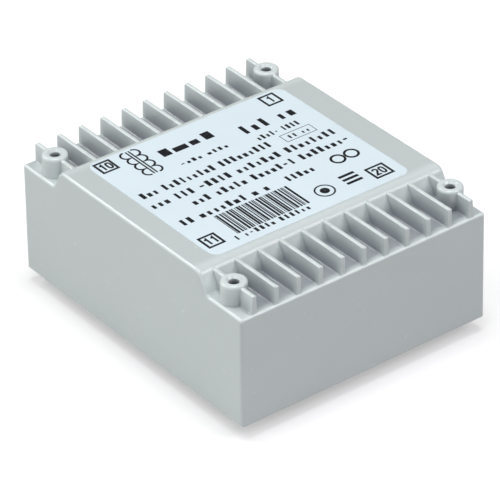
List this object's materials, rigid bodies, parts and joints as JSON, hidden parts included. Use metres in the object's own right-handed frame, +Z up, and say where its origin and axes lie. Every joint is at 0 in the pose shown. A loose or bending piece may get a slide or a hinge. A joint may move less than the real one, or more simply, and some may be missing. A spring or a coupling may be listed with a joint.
{
  "type": "pcb transformer",
  "caption": "Flat encapsulated mains transformer for a circuit board: light grey finned case with a raised middle, white label on top, four corner screw bosses and eight pins below",
  "frame": {"origin": "middle of the case's open rim, in the plane that stands on the circuit board", "axes": "+Z up, away from the board; +X along the case, from the end with pins 1 to 10 to the end with pins 11 to 20; +Y across it, towards pin 1"},
  "size_m": [0.068, 0.057, 0.0303],
  "materials": {
    "case_plastic": "satin moulded polyamide, light grey",
    "label_film": "white film with black print, semi-gloss",
    "potting_resin": "cast resin, dark, slightly glossy",
    "core_steel": "punched silicon steel sheet, varnished",
    "bobbin_plastic": "moulded glass-filled plastic, black",
    "copper_wire": "enamelled copper wire",
    "winding_tape": "polyester insulating tape, yellow",
    "pin_metal": "tinned copper-clad wire"
  },
  "bodies": {
    "root": {"case": "case_plastic", "label": "label_film", "resin": "potting_resin", "u_laminations": "core_steel", "i_laminations": "core_steel", "bobbin_a": "bobbin_plastic", "bobbin_b": "bobbin_plastic", "primary_a": "copper_wire", "primary_b": "copper_wire", "secondary_a": "copper_wire", "secondary_b": "copper_wire", "primary_tape_a": "winding_tape", "primary_tape_b": "winding_tape", "secondary_tape_a": "winding_tape", "secondary_tape_b": "winding_tape", "lead_1": "copper_wire", "lead_4": "copper_wire", "lead_6": "copper_wire", "lead_9": "copper_wire", "lead_12": "copper_wire", "lead_14": "copper_wire", "lead_17": "copper_wire", "lead_19": "copper_wire", "pin_1": "pin_metal", "pin_4": "pin_metal", "pin_6": "pin_metal", "pin_9": "pin_metal", "pin_12": "pin_metal", "pin_14": "pin_metal", "pin_17": "pin_metal", "pin_19": "pin_metal"}
  },
  "joints": []
}
